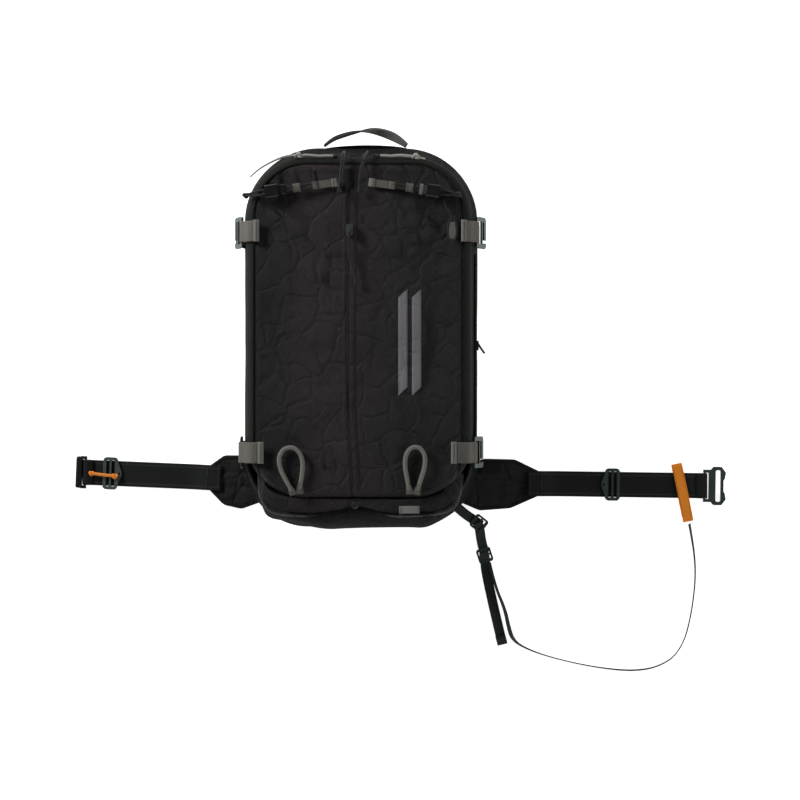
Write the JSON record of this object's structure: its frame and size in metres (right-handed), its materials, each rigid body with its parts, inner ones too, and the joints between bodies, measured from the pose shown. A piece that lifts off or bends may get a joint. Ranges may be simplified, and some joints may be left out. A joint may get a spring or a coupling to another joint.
{
  "type": "avalanche airbag backpack",
  "caption": "Black backpack with an electric airbag system, roll-flat hip belt, leg strap, tool loops, axe holders and a zipped front lid, lying on its back.",
  "frame": {"origin": "middle of the lumbar pad's face, on the surface that the pack lies on", "axes": "+X to the wearer's right, along the spread hip belt; +Y from the hip belt to the grab handle; +Z out of the front panel"},
  "size_m": [0.9672, 0.7996, 0.1992],
  "materials": {
    "fabric_black": "dark laminated ripstop, matt",
    "fabric_side": "plain black pack cloth, matt",
    "foam_mesh": "black spacer mesh over foam",
    "binding_tape": "dark grey-green woven binding",
    "webbing_black": "black woven webbing",
    "webbing_grey": "warm grey woven webbing",
    "cord_grey": "light grey braided cord",
    "cord_black": "black braided cord",
    "cord_orange": "orange braided cord and tape",
    "zip_black": "black coil zip",
    "plastic_black": "black moulded plastic",
    "plastic_white": "off-white moulded plastic",
    "plastic_red": "red moulded plastic",
    "hook_slate": "slate anodised alloy, satin",
    "hook_sage": "sage anodised alloy, satin",
    "sheet_plastic": "stiff polyethylene sheet",
    "airbag_nylon": "orange coated nylon",
    "cell_metal": "bare cell cans"
  },
  "bodies": {
    "root": {"main_compartment": "fabric_side", "base_panel": "fabric_black", "main_zip": "zip_black", "strap_anchors": "webbing_grey", "back_panel": "foam_mesh", "lumbar_pad": "foam_mesh", "frame_sheet": "sheet_plastic", "harness_webbing": "webbing_black", "shoulder_strap_left": "foam_mesh", "shoulder_strap_right": "foam_mesh", "sternum_socket": "plastic_black", "trigger_cable": "plastic_black", "leg_strap": "webbing_black", "leg_webbing": "webbing_black", "folded_airbag": "airbag_nylon", "blower_housing": "plastic_black", "blower_cover": "plastic_black", "blower_motor": "cell_metal", "control_case": "plastic_black", "power_cells": "cell_metal"},
    "lid": {"front_panel": "fabric_black", "front_binding": "binding_tape", "front_zip": "zip_black", "elastic_cords": "cord_grey", "gear_tabs": "webbing_grey", "compression_straps": "webbing_grey"},
    "front_slider": {"front_zip_slider": "plastic_black", "front_zip_pull": "cord_black"},
    "side_slider": {"side_zip_slider": "plastic_black"},
    "sternum_plug": {"sternum_plug": "plastic_black"},
    "trigger_handle": {"trigger_handle": "plastic_red"},
    "grab_handle": {"grab_handle": "webbing_black"},
    "leg_buckle_upper": {"leg_buckle_upper": "hook_slate"},
    "leg_buckle_lower": {"leg_buckle_lower": "hook_slate"},
    "impeller": {"impeller": "plastic_white"},
    "power_switch": {"power_switch": "plastic_red"},
    "wing_left": {"hip_wing_left": "fabric_side", "belt_webbing_left": "webbing_black", "buckle_lanyard": "cord_orange"},
    "wing_right": {"hip_wing_right": "fabric_side", "belt_webbing_right": "webbing_black", "leg_loop_sleeve": "cord_orange"},
    "buckle_left": {"belt_buckle_hook": "hook_slate"},
    "buckle_right": {"belt_buckle_loop": "hook_slate"},
    "main_slider_left": {"main_zip_slider_left": "plastic_black", "main_zip_pull_left": "cord_black"},
    "tool_loop_left": {"tool_loop_left": "webbing_grey"},
    "cord_lock_left": {"cord_lock_left": "plastic_black"},
    "cord_lock_button_left": {"cord_lock_button_left": "plastic_black"},
    "belt_glide_left": {"belt_glide_left": "hook_sage"},
    "hook_lower_left": {"compression_hook_lower_left": "hook_slate"},
    "hook_upper_left": {"compression_hook_upper_left": "hook_slate"},
    "main_slider_right": {"main_zip_slider_right": "plastic_black", "main_zip_pull_right": "cord_black"},
    "tool_loop_right": {"tool_loop_right": "webbing_grey"},
    "cord_lock_right": {"cord_lock_right": "plastic_black"},
    "cord_lock_button_right": {"cord_lock_button_right": "plastic_black"},
    "belt_glide_right": {"belt_glide_right": "hook_sage"},
    "hook_lower_right": {"compression_hook_lower_right": "hook_slate"},
    "hook_upper_right": {"compression_hook_upper_right": "hook_slate"}
  },
  "joints": [
    {"name": "lid_open", "type": "hinge", "parent": "root", "child": "lid", "pos_m": [0, -0.0235, 0.181], "axis": [1, 0, 0], "range_deg": [0, 90]},
    {"name": "front_zip_slide", "type": "slide", "parent": "lid", "child": "front_slider", "axis": [0, 1, 0], "range_m": [-0.33, 0.048]},
    {"name": "side_zip_slide", "type": "slide", "parent": "root", "child": "side_slider", "axis": [0, 1, 0], "range_m": [-0.11, 0.11]},
    {"name": "main_zip_slide_left", "type": "slide", "parent": "lid", "child": "main_slider_left", "axis": [-1, 0, 0], "range_m": [0, 0.034]},
    {"name": "tool_loop_left_swing", "type": "hinge", "parent": "lid", "child": "tool_loop_left", "pos_m": [-0.086, -0.016, 0.1884], "axis": [0.9848, 0.1736, 0], "range_deg": [0, 95]},
    {"name": "cord_lock_slide_left", "type": "slide", "parent": "lid", "child": "cord_lock_left", "axis": [-0.9903, -0.1392, 0], "range_m": [-0.008, 0.008]},
    {"name": "cord_lock_press_left", "type": "slide", "parent": "cord_lock_left", "child": "cord_lock_button_left", "axis": [-0.9903, -0.1392, 0], "range_m": [0, 0.0035], "stiffness_N_per_m": 120},
    {"name": "hip_wing_left_fold", "type": "hinge", "parent": "root", "child": "wing_left", "pos_m": [-0.184, 0, 0.006], "axis": [0, 1, 0], "range_deg": [0, 80]},
    {"name": "belt_glide_left_slide", "type": "slide", "parent": "wing_left", "child": "belt_glide_left", "axis": [-0.9991, 0.0419, 0], "range_m": [-0.08, 0.014]},
    {"name": "belt_buckle_left_swing", "type": "hinge", "parent": "wing_left", "child": "buckle_left", "pos_m": [-0.4113, 0.00653, 0.0044], "axis": [0.0419, 0.9991, 0], "range_deg": [0, 90]},
    {"name": "hook_lower_left_swing", "type": "hinge", "parent": "lid", "child": "hook_lower_left", "pos_m": [-0.1645, 0.041, 0.166], "axis": [0, 1, 0], "range_deg": [0, 88]},
    {"name": "hook_upper_left_swing", "type": "hinge", "parent": "lid", "child": "hook_upper_left", "pos_m": [-0.163, 0.348, 0.166], "axis": [0, 1, 0], "range_deg": [0, 64]},
    {"name": "main_zip_slide_right", "type": "slide", "parent": "lid", "child": "main_slider_right", "axis": [1, 0, 0], "range_m": [0, 0.034]},
    {"name": "tool_loop_right_swing", "type": "hinge", "parent": "lid", "child": "tool_loop_right", "pos_m": [0.075, -0.016, 0.1884], "axis": [0.998, -0.0628, 0], "range_deg": [0, 95]},
    {"name": "cord_lock_slide_right", "type": "slide", "parent": "lid", "child": "cord_lock_right", "axis": [0.9903, -0.1392, 0], "range_m": [-0.008, 0.008]},
    {"name": "cord_lock_press_right", "type": "slide", "parent": "cord_lock_right", "child": "cord_lock_button_right", "axis": [0.9903, -0.1392, 0], "range_m": [0, 0.0035], "stiffness_N_per_m": 120},
    {"name": "hip_wing_right_fold", "type": "hinge", "parent": "root", "child": "wing_right", "pos_m": [0.184, 0, 0.006], "axis": [0, -1, 0], "range_deg": [0, 80]},
    {"name": "belt_glide_right_slide", "type": "slide", "parent": "wing_right", "child": "belt_glide_right", "axis": [0.9999, -0.014, 0], "range_m": [-0.055, 0.058]},
    {"name": "belt_buckle_right_swing", "type": "hinge", "parent": "wing_right", "child": "buckle_right", "pos_m": [0.50997, -0.01365, 0.0044], "axis": [-0.014, -0.9999, 0], "range_deg": [0, 90]},
    {"name": "hook_lower_right_swing", "type": "hinge", "parent": "lid", "child": "hook_lower_right", "pos_m": [0.161, 0.041, 0.166], "axis": [0, -1, 0], "range_deg": [0, 62]},
    {"name": "hook_upper_right_swing", "type": "hinge", "parent": "lid", "child": "hook_upper_right", "pos_m": [0.164, 0.348, 0.166], "axis": [0, -1, 0], "range_deg": [0, 60]},
    {"name": "grab_handle_swing", "type": "hinge", "parent": "root", "child": "grab_handle", "pos_m": [0, 0.4865, 0.047], "axis": [1, 0, 0], "range_deg": [-30, 45]},
    {"name": "sternum_unclip", "type": "slide", "parent": "root", "child": "sternum_plug", "axis": [1, 0, 0], "range_m": [0, 0.014]},
    {"name": "trigger_pull", "type": "slide", "parent": "root", "child": "trigger_handle", "axis": [0, -1, 0], "range_m": [0, 0.03]},
    {"name": "leg_buckle_upper_slide", "type": "slide", "parent": "root", "child": "leg_buckle_upper", "axis": [-0.8222, 0.5692, 0], "range_m": [0, 0.01]},
    {"name": "leg_buckle_lower_slide", "type": "slide", "parent": "root", "child": "leg_buckle_lower", "axis": [-0.207, 0.9783, 0], "range_m": [0, 0.007]},
    {"name": "impeller_spin", "type": "hinge", "parent": "root", "child": "impeller", "pos_m": [0.058, 0.262, 0.06], "axis": [0, 0, 1], "continuous": true},
    {"name": "power_switch_rock", "type": "hinge", "parent": "root", "child": "power_switch", "pos_m": [0.002, 0.117, 0.068], "axis": [1, 0, 0], "range_deg": [-9, 9]}
  ]
}
